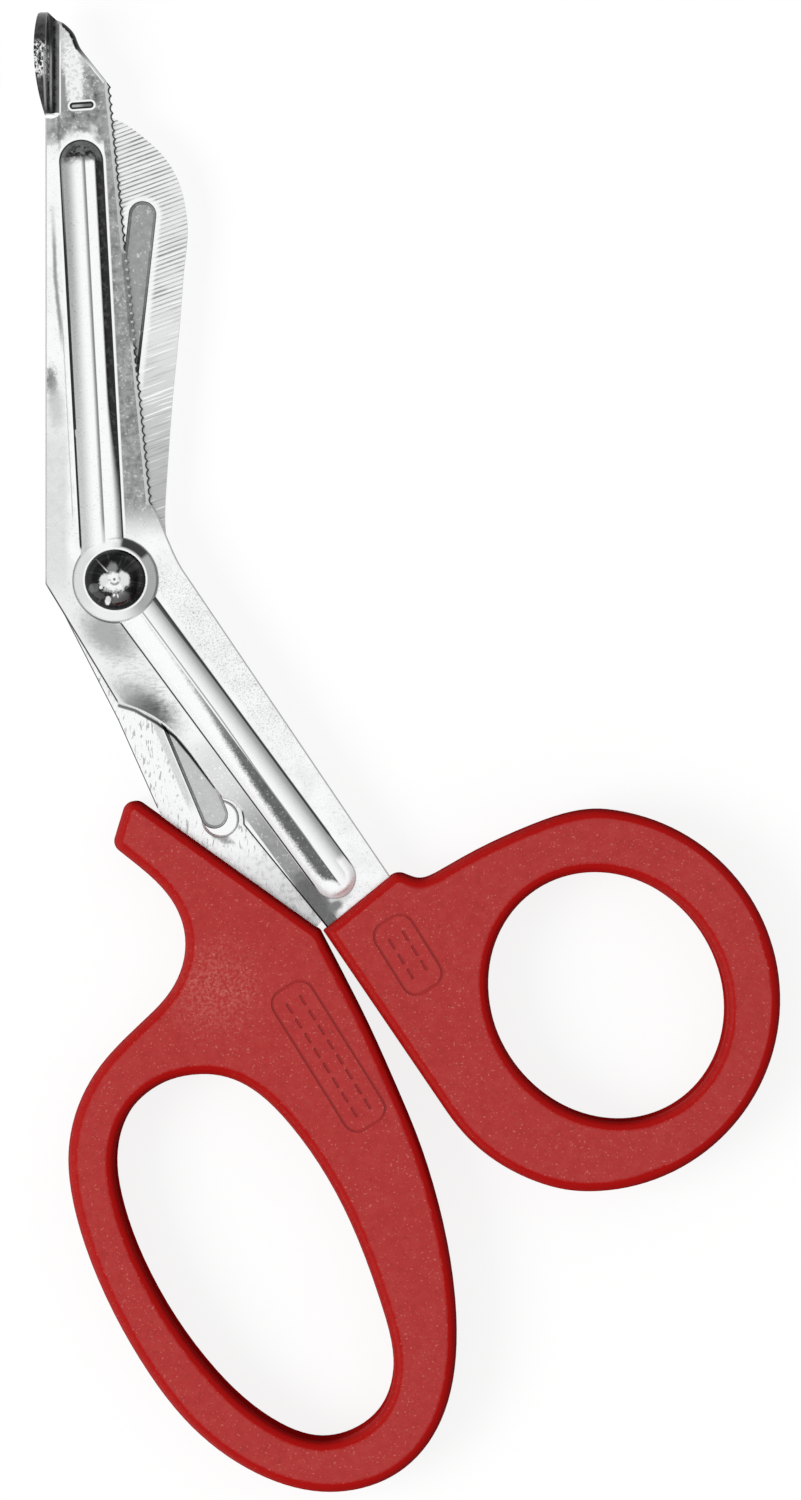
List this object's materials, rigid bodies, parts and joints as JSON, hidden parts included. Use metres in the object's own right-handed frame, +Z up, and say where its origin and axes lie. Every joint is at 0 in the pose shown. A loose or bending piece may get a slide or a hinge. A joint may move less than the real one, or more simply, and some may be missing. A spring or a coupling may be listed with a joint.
{
  "type": "bandage scissors",
  "caption": "Angled bandage scissors with a blunt bent foot, a serrated front blade, pressed ribs, a domed pivot rivet and moulded ring handles that open about the pivot.",
  "frame": {"origin": "centre of the closed shears' bounding box, on the surface that the handles lie on", "axes": "+Y points along the blades towards the foot, +Z up out of the surface through the pivot's axis, +X towards the thumb ring's side"},
  "size_m": [0.094, 0.187, 0.0125],
  "materials": {
    "blade_steel": "satin pressed stainless sheet",
    "handle_plastic": "fine textured moulded plastic",
    "rivet_steel": "polished"
  },
  "bodies": {
    "finger_half": {"plain_blade": "blade_steel", "finger_handle": "handle_plastic"},
    "thumb_half": {"serrated_blade": "blade_steel", "thumb_handle": "handle_plastic", "pivot_rivet": "rivet_steel", "rivet_washer": "rivet_steel"}
  },
  "joints": [
    {"name": "blade_pivot", "type": "hinge", "parent": "finger_half", "child": "thumb_half", "pos_m": [-0.03697, 0.0217, 0.00475], "axis": [0, 0, 1], "range_deg": [0, 55]}
  ]
}
